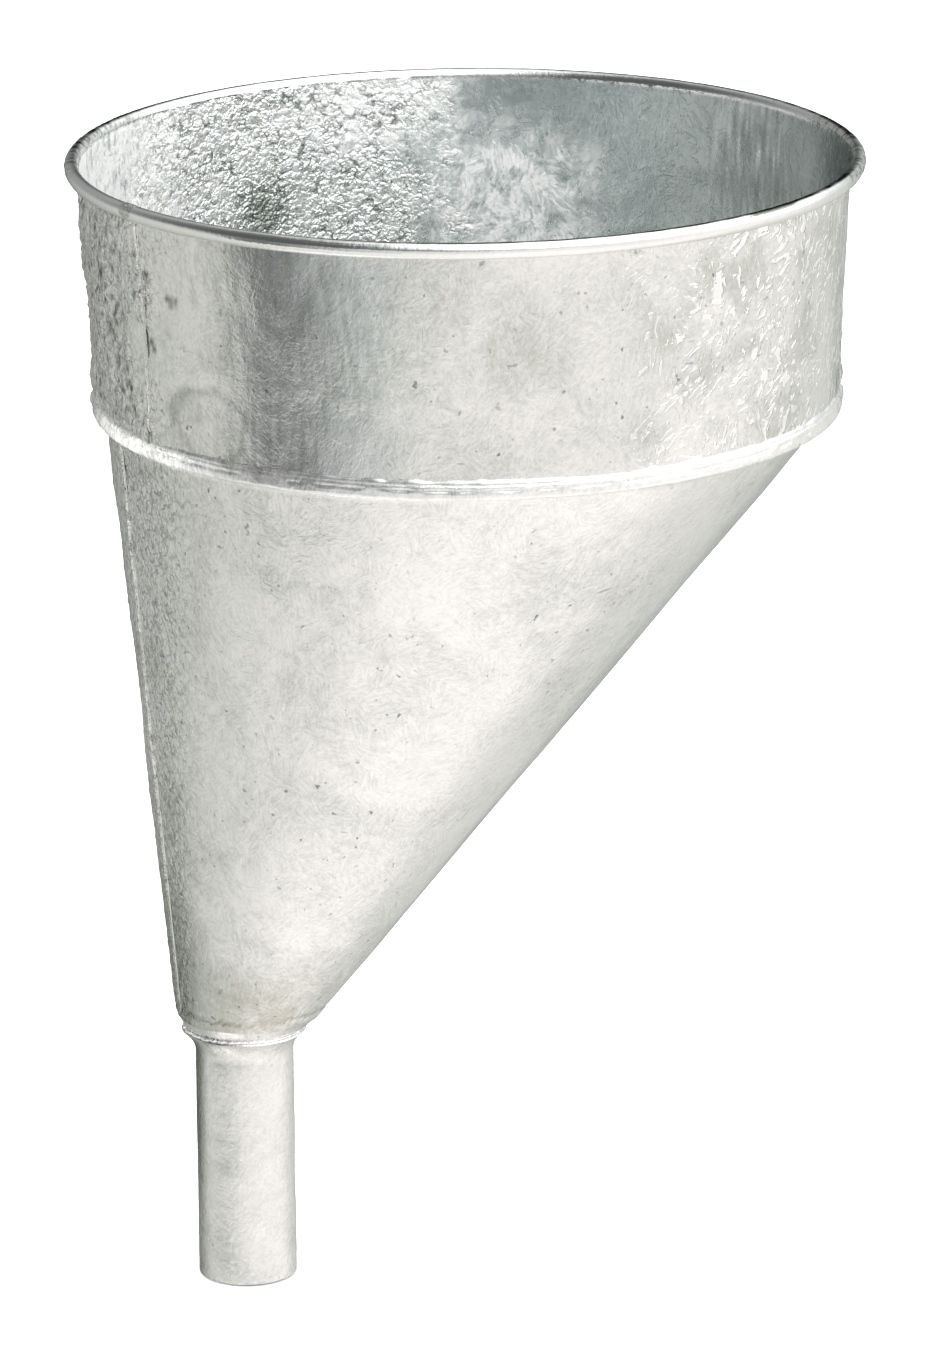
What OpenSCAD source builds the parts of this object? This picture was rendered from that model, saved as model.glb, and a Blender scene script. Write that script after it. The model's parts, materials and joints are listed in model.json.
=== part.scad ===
// Eccentric funnel of hot-dip galvanised sheet steel.
// A wired rim and a slightly tapered band stand on an oblique cone, whose outlet
// lies to one side over a straight spout. Every sheet part is folded, lapped or
// flared as it would be on a tinsmith's bench, and zinc closes the joints.
// The origin is the centre of the spout's lower end, +Z is up along the spout,
// and the mouth's axis is parallel to the spout, displaced along +X.

/* [Sheet and wire] */
// Thickness of the sheet steel
sheet_t = 0.5; // [0.4:0.1:0.8]
// Diameter of the wire inside the rim
wire_d = 3.6; // [3:0.2:5]

/* [Mouth] */
// Diameter over the wired rim
rim_d = 240; // [200:1:300]
// Height of the band, from the rim's top to the seam's lower edge
band_h = 78; // [50:1:110]
// How much the band narrows in radius from rim to seam
band_taper = 4.6; // [1:0.2:9]
// Height of the folded seam between band and cone
seam_h = 5; // [4:0.5:7]

/* [Cone] */
// How far the cone's skin starts inside the band's wall
cone_step = 2.2; // [1.6:0.2:4]
// Sideways distance from the spout's axis to the mouth's axis
offset_x = 74; // [40:1:90]
// Height of the cone, from the flare's top to the seam
cone_h = 190; // [150:1:230]
// Height of the cone's lower edge above the flare, where its sheet turns in towards the spout
turn_in_h = 5; // [3:0.5:8]

/* [Spout] */
// Outside diameter of the spout
spout_d = 30; // [24:0.5:40]
// Length of the spout below its flare
spout_l = 72; // [40:1:120]
// Height over which the spout flares out
flare_h = 7; // [4:0.5:9]
// How much the flare widens the spout in radius
flare_w = 4.1; // [3:0.1:6]
// Length of the spout's collar above the flare, inside the cone
collar_h = 3.5; // [2:0.5:6]

/* [Side seams] */
// Width of the laps where each sheet's ends overlap
lap_w = 8; // [5:0.5:12]
// Direction of the band's lap round the mouth's axis, in degrees
band_lap_at = 195; // [190:1:250]

/* [Hidden] */
$fn = 96;
eps = 0.01;

// Mouth
rim_r = rim_d / 2;
bead_r = wire_d / 2 + sheet_t;
bead_ring_r = rim_r - bead_r;
band_top_r = rim_r - 2 * bead_r + sheet_t;
band_low_r = band_top_r - band_taper;

// Heights, with the gap between flare and cone that zinc fills
neck_gap = 0.7;
flare_z = spout_l;
cone_z = flare_z + flare_h;
flare_top_z = cone_z + sheet_t;
cone_foot_z = flare_top_z + neck_gap;
cone_edge_z = cone_z + turn_in_h;
seam_z = cone_z + cone_h;
rim_z = seam_z + band_h;
bead_z = rim_z - bead_r;
band_z = seam_z + sheet_t;

// Folded seam, from the wall outwards: the cone's tail, the band's upturned flange, the cone's skin
seam_play = 0.3;
tail_r = band_low_r + seam_play;
flange_r = tail_r + sheet_t;
skin_r = flange_r + sheet_t;
seam_r = skin_r + sheet_t;
seam_top_z = seam_z + seam_h;

// Spout and its flare, whose inner face turns up into the collar before the outer one ends
spout_r = spout_d / 2;
bore_r = spout_r - sheet_t;
flare_r = spout_r + flare_w;
collar_r = spout_r + 0.58 * flare_w;
collar_bend = 0.75;
flare_steps = 8;

// Oblique cone: all of its sections are circles, whose centres move along +X,
// and its slanting sheet is cone_t thick when it is measured level
cone_t = sheet_t * 1.2;
cone_low_r = flare_r + cone_t / 2;
cone_foot_r = flare_r - sheet_t;
cone_top_r = band_low_r - cone_step;
shear_x = offset_x / cone_h;
// A bend in the sheet is this much thicker than its flat on each face
bend_t = 0.15;

// Zinc that closes the joints
zinc_w = 1.2;
rim_zinc_t = 0.4;
rim_zinc_w = 6;

// Outer radius of the band's wall at height z
function band_r(z) = band_low_r + (z - band_z) * band_taper / (bead_z - band_z);
// Outer radius of the cone at height z
function cone_r(z) = cone_low_r + (z - cone_z) * (cone_top_r - cone_low_r) / cone_h;
// Angle that a width takes up at a radius
function turn(width, radius) = width / radius * 180 / PI;

// Places its children on the mouth's axis
module on_mouth_axis() {
    translate([offset_x, 0, 0]) children();
}

// Leans its children along the cone's own centre line, which meets the spout's axis at cone_z
module leaning() {
    multmatrix([
        [1, 0, shear_x, -shear_x * cone_z],
        [0, 1, 0, 0],
        [0, 0, 1, 0],
        [0, 0, 0, 1]
    ]) children();
}

// Upright cone between two heights, grow larger in radius than the funnel's outer skin
module upright_cone(low_z, high_z, grow) {
    translate([0, 0, low_z])
        cylinder(h = high_z - low_z, r1 = cone_r(low_z) + grow, r2 = cone_r(high_z) + grow);
}

// Outline of the band's wall, pushed outwards by two distances that bound its thickness
module wall_outline(low_z, high_z, inner, outer) {
    polygon([
        [band_r(low_z) + inner, low_z],
        [band_r(low_z) + outer, low_z],
        [band_r(high_z) + outer, high_z],
        [band_r(high_z) + inner, high_z]
    ]);
}

// Steel wire that stiffens the rim
module rim_wire() {
    color("dimgray")
        on_mouth_axis()
            rotate_extrude()
                translate([bead_ring_r, bead_z]) circle(d = wire_d);
}

// Outline of the band: wall, roll round the wire, and the flange turned up at the seam
module band_outline() {
    difference() {
        union() {
            wall_outline(band_z, bead_z, -sheet_t, 0);
            translate([bead_ring_r, bead_z]) circle(r = bead_r);
        }
        translate([bead_ring_r, bead_z]) circle(d = wire_d);
    }
    translate([band_low_r - sheet_t, band_z]) square([skin_r - band_low_r + sheet_t, sheet_t]);
    translate([flange_r, band_z]) square([sheet_t, seam_h - 2 * sheet_t]);
}

// Band: one strip of sheet, rolled at the top, folded at the foot, its ends lapped
module band() {
    lap_turn = turn(lap_w, band_top_r);
    color("lightgray")
        on_mouth_axis() {
            rotate_extrude() band_outline();
            rotate([0, 0, band_lap_at - lap_turn])
                rotate_extrude(angle = lap_turn)
                    wall_outline(seam_top_z + zinc_w, rim_z - 2 * bead_r, -sheet_t / 2, sheet_t);
        }
}

// Outline of the cone's hook: plate under the band, skin outside it and tail behind its flange
module hook_outline() {
    plate_in = cone_top_r - cone_t - bend_t;
    translate([plate_in, seam_z]) square([seam_r - plate_in, sheet_t]);
    translate([skin_r, seam_z]) square([sheet_t, seam_h]);
    translate([tail_r, seam_top_z - sheet_t]) square([seam_r - tail_r, sheet_t]);
    translate([tail_r, band_z + 2 * sheet_t]) square([sheet_t, seam_h - 3 * sheet_t]);
}

// Foot of the cone before it leans: the turned-in stretch below its lower edge
module upright_foot(grow) {
    translate([0, 0, cone_foot_z])
        cylinder(h = cone_edge_z - cone_foot_z, r1 = cone_foot_r + grow, r2 = cone_r(cone_edge_z) + grow);
}

// Wall of the cone before it leans, with the lap on its short side
module upright_wall() {
    lap_low_z = cone_edge_z + zinc_w;
    lap_high_z = seam_z - zinc_w;
    difference() {
        union() {
            upright_cone(cone_edge_z, seam_z + sheet_t / 2, 0);
            upright_foot(0);
        }
        upright_cone(cone_edge_z, seam_z + sheet_t, -cone_t);
        upright_foot(-cone_t);
    }
    intersection() {
        difference() {
            upright_cone(lap_low_z, lap_high_z, cone_t);
            upright_cone(lap_low_z - eps, lap_high_z + eps, -cone_t / 2);
        }
        translate([-rim_r, 0, cone_z]) cube([rim_r, lap_w, cone_h]);
    }
}

// Cone: one oblique sheet, hooked round the band's flange, its ends lapped on the short side.
// The wall leans as two halves, short side and long side, that meet on the plane between them.
module cone() {
    color("silver") {
        for (side_x = [-rim_r, 0])
            leaning() intersection() {
                upright_wall();
                translate([side_x, -rim_r, cone_z]) cube([rim_r, rim_d, cone_h + seam_h]);
            }
        on_mouth_axis() rotate_extrude() hook_outline();
    }
}

// One face of the flare, from a radius at its foot out to a radius at its top
function flare_curve(foot_r, top_r, height) = [
    for (i = [0 : flare_steps])
        let (along = i / flare_steps)
        [foot_r + (top_r - foot_r) * along * along, flare_z + height * along]
];

// Outline of the spout: tube, flare folded back at its top, and the collar above
module spout_outline() {
    outer_face = flare_curve(spout_r, flare_r, flare_h);
    inner_face = flare_curve(bore_r, collar_r - sheet_t, flare_h * collar_bend);
    polygon(concat(
        [[bore_r, 0], [spout_r, 0]],
        outer_face,
        [
            [flare_r, flare_top_z],
            [collar_r, flare_top_z],
            [collar_r, flare_top_z + collar_h],
            [collar_r - sheet_t, flare_top_z + collar_h]
        ],
        [for (i = [flare_steps : -1 : 0]) inner_face[i]]
    ));
}

// Spout: straight tube whose flare carries the cone's foot
module spout() {
    color("gainsboro") rotate_extrude() spout_outline();
}

// Zinc lump where the roll round the wire closes over the band's lap
module rim_joint_zinc() {
    zinc_turn = turn(rim_zinc_w, rim_r);
    color("whitesmoke")
        on_mouth_axis()
            rotate([0, 0, band_lap_at - zinc_turn / 2])
                rotate_extrude(angle = zinc_turn)
                    intersection() {
                        difference() {
                            translate([bead_ring_r, bead_z]) circle(r = bead_r + rim_zinc_t);
                            translate([bead_ring_r, bead_z]) circle(r = bead_r);
                        }
                        translate([band_top_r + 2 * sheet_t, bead_z - 2 * bead_r]) square(2 * bead_r);
                    }
}

// Zinc run down the edge of the band's lap
module band_lap_zinc() {
    color("whitesmoke")
        on_mouth_axis()
            rotate([0, 0, band_lap_at])
                rotate_extrude(angle = turn(zinc_w, band_top_r))
                    wall_outline(seam_top_z + zinc_w, rim_z - 2 * bead_r, 0, sheet_t);
}

// Zinc that fills the crease above the folded seam
module seam_zinc() {
    color("whitesmoke")
        on_mouth_axis()
            rotate_extrude()
                polygon([
                    [band_r(seam_top_z), seam_top_z],
                    [skin_r, seam_top_z],
                    [band_r(seam_top_z + zinc_w), seam_top_z + zinc_w]
                ]);
}

// Zinc run down the edge of the cone's lap
module cone_lap_zinc() {
    run_low_z = cone_edge_z + zinc_w;
    run_high_z = seam_z - zinc_w;
    color("whitesmoke")
        leaning() intersection() {
            difference() {
                upright_cone(run_low_z, run_high_z, cone_t);
                upright_cone(run_low_z - eps, run_high_z + eps, 0);
            }
            translate([-rim_r, -zinc_w, cone_z]) cube([rim_r, zinc_w, cone_h]);
        }
}

// Zinc ring between the spout's flare and the cone's foot
module neck_zinc() {
    color("whitesmoke")
        rotate_extrude()
            translate([collar_r, flare_top_z]) square([cone_foot_r - collar_r, neck_gap]);
}

rim_wire();
band();
cone();
spout();
rim_joint_zinc();
band_lap_zinc();
seam_zinc();
cone_lap_zinc();
neck_zinc();
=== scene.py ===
"""Eccentric galvanised funnel on a plain pale floor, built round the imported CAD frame.

Each formed sheet is a closed shell of real thickness, made as a grid: an outline in
(radius, height) is swept round an axis, and random zinc relief is then laid on its faces.
Lengths are in mm until a mesh is written, and directions are in degrees round +Z from +X.
"""

import json
import math

import bpy
import numpy as np
from mathutils import Matrix, Vector


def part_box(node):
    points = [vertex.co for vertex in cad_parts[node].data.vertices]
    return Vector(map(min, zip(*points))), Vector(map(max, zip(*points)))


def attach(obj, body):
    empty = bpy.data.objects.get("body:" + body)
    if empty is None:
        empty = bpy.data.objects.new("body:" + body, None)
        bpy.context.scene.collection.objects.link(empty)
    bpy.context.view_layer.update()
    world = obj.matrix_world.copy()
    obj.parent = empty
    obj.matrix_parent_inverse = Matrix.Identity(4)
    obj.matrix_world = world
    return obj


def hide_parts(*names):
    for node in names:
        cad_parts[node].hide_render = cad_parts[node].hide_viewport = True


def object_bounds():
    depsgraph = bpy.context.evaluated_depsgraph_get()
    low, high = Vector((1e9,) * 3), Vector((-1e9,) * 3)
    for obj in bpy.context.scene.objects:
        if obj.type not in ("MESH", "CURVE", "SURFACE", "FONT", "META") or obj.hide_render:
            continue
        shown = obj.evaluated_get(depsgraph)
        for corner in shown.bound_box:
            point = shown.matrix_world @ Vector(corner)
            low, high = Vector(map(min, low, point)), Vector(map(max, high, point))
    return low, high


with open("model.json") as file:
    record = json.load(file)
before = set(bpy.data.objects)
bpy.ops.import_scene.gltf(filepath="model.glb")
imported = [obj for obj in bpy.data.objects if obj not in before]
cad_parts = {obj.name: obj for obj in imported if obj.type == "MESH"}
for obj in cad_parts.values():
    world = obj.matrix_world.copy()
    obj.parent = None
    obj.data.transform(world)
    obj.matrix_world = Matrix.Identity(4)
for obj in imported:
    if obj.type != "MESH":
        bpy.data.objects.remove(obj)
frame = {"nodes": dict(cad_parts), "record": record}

cad_box = [list(corner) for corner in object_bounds()]

# ---------------------------------------------------------------- sizes, from the frame
MM = 0.001


def box_mm(node):
    """Lowest and highest corner of a CAD node, in mm."""
    low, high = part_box(node)
    return np.array(low) / MM, np.array(high) / MM


wire_low, wire_high = box_mm("rim_wire")
band_low, band_high = box_mm("band")
cone_low, cone_high = box_mm("cone")
spout_low, spout_high = box_mm("spout")
neck_low, neck_high = box_mm("neck_zinc")

mount = {m["name"]: m for m in frame["record"]["mounts"]}
spout_r = mount["spout_outside"]["dims"]["r_mm"]
bore_r = mount["spout_inside"]["dims"]["r_mm"]
spout_len = mount["spout_outside"]["dims"]["length_mm"]
sheet = spout_r - bore_r

mouth_x = (wire_low[0] + wire_high[0]) / 2
rim_r = (band_high[1] - band_low[1]) / 2
wire_r = (wire_high[2] - wire_low[2]) / 2
bead_r = wire_r + sheet
bead_ring_r = rim_r - bead_r
rim_z = band_high[2]
bead_z = rim_z - bead_r
band_z = band_low[2]

seam_z = band_z - sheet
seam_top_z = cone_high[2]
seam_r = (cone_high[1] - cone_low[1]) / 2
skin_r = seam_r - sheet
flange_r = skin_r - sheet
tail_r = flange_r - sheet
SEAM_PLAY = 0.3
band_top_r = rim_r - 2 * bead_r + sheet
band_low_r = tail_r - SEAM_PLAY

flare_r = (spout_high[1] - spout_low[1]) / 2
flare_top_z = neck_low[2]
cone_z = flare_top_z - sheet
foot_z = cone_low[2]
foot_r = (neck_high[1] - neck_low[1]) / 2
collar_top_z = spout_high[2]
cone_t = 1.2 * sheet
CONE_STEP = 2.2
TURN_IN = 5.0
cone_low_r = flare_r + cone_t / 2
cone_top_r = band_low_r - CONE_STEP
edge_z = cone_z + TURN_IN
lean = mouth_x / (seam_z - cone_z)

LAP_W = 8.0
LAP_FADE = 7.0
ZINC_W = 1.2
BAND_LAP_AT = 195.0
CONE_LAP_AT = 180.0

# Directions at the two ends of the mouth as the camera sees it, where the zinc is ragged
LEFT_END = 161
RIGHT_END = 341


def band_r(z):
    """Outer radius of the band's wall."""
    return band_low_r + (z - band_z) * (band_top_r - band_low_r) / (bead_z - band_z)


def cone_r(z):
    """Outer radius of the cone's wall."""
    return cone_low_r + (z - cone_z) * (cone_top_r - cone_low_r) / (seam_z - cone_z)


def cone_x(z):
    """X of the cone's centre line, which ends at the mouth's axis."""
    return np.clip(lean * (np.asarray(z) - cone_z), 0.0, mouth_x)


# ---------------------------------------------------------------- random relief
def relief(seed, around, along, fine, coarse, stretch=1.0):
    """Random surface over a patch in mm, as a lookup of (u, v) that wraps both ways.

    Its features lie between the fine and coarse wavelengths and are longer along v by
    stretch. Its mean is 0 and its spread is 1."""
    step = fine / 3
    rows, cols = (max(16, round(size / step)) for size in (around, along))
    rng = np.random.default_rng(seed)
    k_u = np.fft.fftfreq(rows, around / rows)[:, None]
    k_v = np.fft.rfftfreq(cols, along / cols)[None, :] * stretch
    k = np.hypot(k_u, k_v)
    keep = np.exp(-((k * fine) ** 2)) - np.exp(-((k * coarse) ** 2))
    white = np.fft.rfft2(rng.standard_normal((rows, cols)))
    field = np.fft.irfft2(white * keep, s=(rows, cols))
    field = (field - field.mean()) / field.std()

    def look(u, v):
        a, b = (u / around) % 1 * rows, (v / along) % 1 * cols
        i, j = np.floor(a).astype(int) % rows, np.floor(b).astype(int) % cols
        s, t = a - np.floor(a), b - np.floor(b)
        s, t = s * s * (3 - 2 * s), t * t * (3 - 2 * t)
        i_next, j_next = (i + 1) % rows, (j + 1) % cols
        low = field[i, j] * (1 - s) + field[i_next, j] * s
        high = field[i, j_next] * (1 - s) + field[i_next, j_next] * s
        return low * (1 - t) + high * t

    return look


def ramp(x, start, end):
    """0 before start, 1 after end, smooth between; start may be above end."""
    t = np.clip((x - start) / (end - start), 0, 1)
    return t * t * (3 - 2 * t)


def off(angle, centre):
    """Signed difference of two directions, in degrees, between -180 and 180."""
    return (angle - centre + 180) % 360 - 180


def within(angle, centre, whole, none):
    """1 within `whole` degrees of a direction, 0 beyond `none`, smooth between."""
    return ramp(np.abs(off(angle, centre)), none, whole)


def ridge(x, width):
    """A smooth ridge, 1 where x is 0."""
    return np.exp(-((x / width) ** 2))


def blob(angle, height, at, z, radius, size, high):
    """A rounded lump of zinc, size wide and high tall, at a direction and height on a surface."""
    across = off(angle, at) * math.pi / 180 * radius
    return high * np.exp(-(across**2 + (height - z) ** 2) / (0.36 * size**2))


def lap_step(angle, at, radius, thick):
    """The step where a sheet's end lies on the wall, fading out beyond the lap's width."""
    run = -off(angle, at) * math.pi / 180 * radius
    return thick * (run > 0) * ramp(run, LAP_W + LAP_FADE, LAP_W)


# ---------------------------------------------------------------- grids and meshes
def arc(centre_r, centre_z, radius, start, end, count):
    """Points on an arc of an outline, its angles in degrees."""
    return [
        (
            centre_r + radius * math.cos(math.radians(a)),
            centre_z + radius * math.sin(math.radians(a)),
        )
        for a in np.linspace(start, end, count)
    ]


def trace(*runs):
    """Closed outline from runs of (points, spacing, face), anticlockwise, radius to the right."""
    r, z, face = [], [], []
    for number, (points, spacing, name) in enumerate(runs):
        path = points + [runs[(number + 1) % len(runs)][0][0]]
        for (r0, z0), (r1, z1) in zip(path, path[1:]):
            count = max(1, math.ceil(math.hypot(r1 - r0, z1 - z0) / spacing))
            for t in np.arange(count) / count:
                r.append(r0 + (r1 - r0) * t)
                z.append(z0 + (z1 - z0) * t)
                face.append(name)
    return np.array(r), np.array(z), np.array(face)


STEP_HALF_ANGLE = 0.03


def angles(count, steps_at=()):
    """Directions round an axis, with a pair close together at each place the sheet steps."""
    even = np.arange(count) * 360 / count
    sides = (-STEP_HALF_ANGLE, STEP_HALF_ANGLE)
    close = [a + side for a in steps_at for side in sides]
    return np.unique(np.concatenate([even, np.array(close) % 360]))


def sweep(r, z, angle, centre_x):
    """Grid of points, angle by outline, in mm."""
    turn = np.radians(angle)[:, None]
    return np.stack(
        [
            centre_x + r * np.cos(turn),
            r * np.sin(turn),
            np.broadcast_to(z, (len(angle), z.shape[-1])),
        ],
        axis=-1,
    )


def raise_by(points, height):
    """The grid with each point moved outwards along its own normal."""
    along = np.roll(points, -1, 0) - np.roll(points, 1, 0)
    up = np.roll(points, -1, 1) - np.roll(points, 1, 1)
    normal = np.cross(along, up)
    normal /= np.linalg.norm(normal, axis=-1, keepdims=True)
    return points + normal * height[..., None]


def closed_quads(rows, cols):
    """Faces of a grid that closes both ways."""
    i, j = np.meshgrid(np.arange(rows), np.arange(cols), indexing="ij")
    i_next, j_next = (i + 1) % rows, (j + 1) % cols
    corners = [i * cols + j, i_next * cols + j, i_next * cols + j_next, i * cols + j_next]
    return np.stack(corners, axis=-1).reshape(-1, 4)


def capped_faces(rows, cols):
    """Faces of a grid that closes along the outline only, with a cap on each end."""
    quads = closed_quads(rows, cols)[: (rows - 1) * cols].tolist()
    first = list(range(cols))
    last = [(rows - 1) * cols + j for j in range(cols)]
    return quads + [first, last[::-1]]


CAD_LOW, CAD_HIGH = (np.array(corner) for corner in cad_box)
SHARP_ANGLE = math.radians(50)


def make_piece(name, points, faces, slot, material, nodes, **values):
    """A mesh object in metres, kept inside the CAD box, with one float attribute per value."""
    co = np.clip(points.reshape(-1, 3) * MM, CAD_LOW, CAD_HIGH)
    mesh = bpy.data.meshes.new(name)
    mesh.from_pydata(co, [], faces)
    mesh.update()
    mesh.shade_smooth()
    mesh.set_sharp_from_angle(angle=SHARP_ANGLE)
    for key, value in values.items():
        flat = np.broadcast_to(value, points.shape[:2]).astype(np.float32).ravel()
        mesh.attributes.new(key, "FLOAT", "POINT").data.foreach_set("value", flat)
    piece = bpy.data.objects.new(name, mesh)
    bpy.context.scene.collection.objects.link(piece)
    mesh.materials.append(material)
    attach(piece, "root")
    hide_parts(*nodes)
    return piece


# ---------------------------------------------------------------- materials
LIGHT_ZINC = (0.825, 0.81, 0.80, 1)
SHADE_ZINC = (0.49, 0.505, 0.465, 1)
# Painted shade: the darker blue-grey of the insides
INSIDE_SHADE_ZINC = (0.52, 0.565, 0.565, 1)
# Bright crystal streaks, painted as glints
FLAKE_GLINT_ZINC = (0.93, 0.92, 0.91, 1)
# Painted shade in creases
CREASE_SHADE_ZINC = (0.26, 0.28, 0.26, 1)
# Pits, specks, scratches and dirt, and also painted shade and painted dark reflection
PIT_AND_SHADE_ZINC = (0.16, 0.17, 0.14, 1)
STAIN = (0.34, 0.28, 0.19, 1)
WIRE_STEEL = (0.22, 0.22, 0.22, 1)
WIRE_RUST = (0.12, 0.08, 0.05, 1)


def add(tree, kind, inputs=None, **settings):
    """A new shader node, with its inputs set or linked."""
    made = tree.nodes.new("ShaderNode" + kind)
    for key, value in settings.items():
        setattr(made, key, value)
    for key, value in (inputs or {}).items():
        if isinstance(value, bpy.types.NodeSocket):
            tree.links.new(value, made.inputs[key])
        else:
            made.inputs[key].default_value = value
    return made


def noise(tree, place, scale, detail=3.0, roughness=0.5, distortion=0.0):
    made = add(
        tree,
        "TexNoise",
        {
            "Vector": place,
            "Scale": scale,
            "Detail": detail,
            "Roughness": roughness,
            "Distortion": distortion,
        },
    )
    return made.outputs["Fac"]


def remap(tree, value, low, high, to_low=0.0, to_high=1.0):
    """A value stretched from one range to another and held inside it."""
    made = add(
        tree,
        "MapRange",
        {
            "Value": value,
            "From Min": low,
            "From Max": high,
            "To Min": to_low,
            "To Max": to_high,
        },
        interpolation_type="SMOOTHSTEP",
    )
    return made.outputs["Result"]


def blend_colours(tree, factor, one, other):
    return add(tree, "Mix", {0: factor, 6: one, 7: other}, data_type="RGBA").outputs[2]


def maths(tree, operation, one, other):
    return add(tree, "Math", {0: one, 1: other}, operation=operation).outputs[0]


def plus(tree, one, other):
    return maths(tree, "ADD", one, other)


def times(tree, one, other):
    return maths(tree, "MULTIPLY", one, other)


def less(tree, one, other):
    return maths(tree, "SUBTRACT", one, other)


def bump(tree, height, strength, distance, under=None):
    """A bumped normal, laid on another one where `under` is given."""
    inputs = {"Height": height, "Strength": strength, "Distance": distance}
    if under:
        inputs["Normal"] = under
    return add(tree, "Bump", inputs).outputs["Normal"]


def new_skin(name):
    """A new material, with its node tree, its shader and the object's coordinates."""
    material = bpy.data.materials.new(name)
    material.use_nodes = True
    tree = material.node_tree
    place = tree.nodes.new("ShaderNodeTexCoord").outputs["Object"]
    return material, tree, tree.nodes["Principled BSDF"], place


def attribute(tree, name):
    return add(tree, "Attribute", attribute_name=name).outputs["Fac"]


def crystals(tree, place):
    """Fine ferns, broad strokes, and a random value for each crystal.

    Each crystal turns the coordinates its own way before a stretched noise streaks it."""
    cells = add(tree, "TexVoronoi", {"Vector": place, "Scale": 120.0, "Randomness": 1.0})
    parts = add(tree, "SeparateColor", {"Color": cells.outputs["Color"]})
    turn = {"Vector": place, "Angle": times(tree, parts.outputs["Red"], 6.28)}
    turned = add(tree, "VectorRotate", {**turn, "Axis": (0.5, 0.3, 0.81)})
    stretch = {"Vector": turned.outputs["Vector"], "Scale": (1.0, 4.0, 1.4)}
    streaked = add(tree, "Mapping", stretch).outputs["Vector"]
    ferns = noise(tree, streaked, 300.0, 3.0, 0.6, 0.5)
    strokes = noise(tree, streaked, 140.0, 2.0, 0.5, 0.9)
    return ferns, strokes, parts.outputs["Green"]


def frothing(tree, place):
    """Froth's height and its distance from a dome's middle, from cells that wander."""
    wander = add(tree, "TexNoise", {"Vector": place, "Scale": 330.0, "Detail": 4.0})
    shifted = add(
        tree,
        "VectorMath",
        {0: wander.outputs["Color"], 1: (0.006, 0.006, 0.006), 2: place},
        operation="MULTIPLY_ADD",
    )
    cells = add(tree, "TexVoronoi", {"Vector": shifted.outputs[0], "Scale": 520.0})
    spread = cells.outputs["Distance"]
    ruffle = remap(tree, wander.outputs["Fac"], 0.2, 0.8, 0.5, 0.0)
    return plus(tree, times(tree, spread, spread), ruffle), spread


def specks(tree, place, cloud):
    """Small dark specks, more of them in the darker clouds."""
    dots = remap(tree, noise(tree, place, 380.0, 2.0, 0.5), 0.68, 0.74)
    return times(tree, dots, remap(tree, cloud, 0.42, 0.6, 0.2, 1.0))


def scratches(tree, place, cloud):
    """A few thin straight scratches."""
    drawn = {"Vector": place, "Rotation": (0.1, 0.35, 0.6), "Scale": (14.0, 420.0, 420.0)}
    lines = noise(tree, add(tree, "Mapping", drawn).outputs["Vector"], 1.0, 1.0, 0.4)
    return times(tree, remap(tree, lines, 0.735, 0.77), remap(tree, cloud, 0.5, 0.62))


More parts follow.
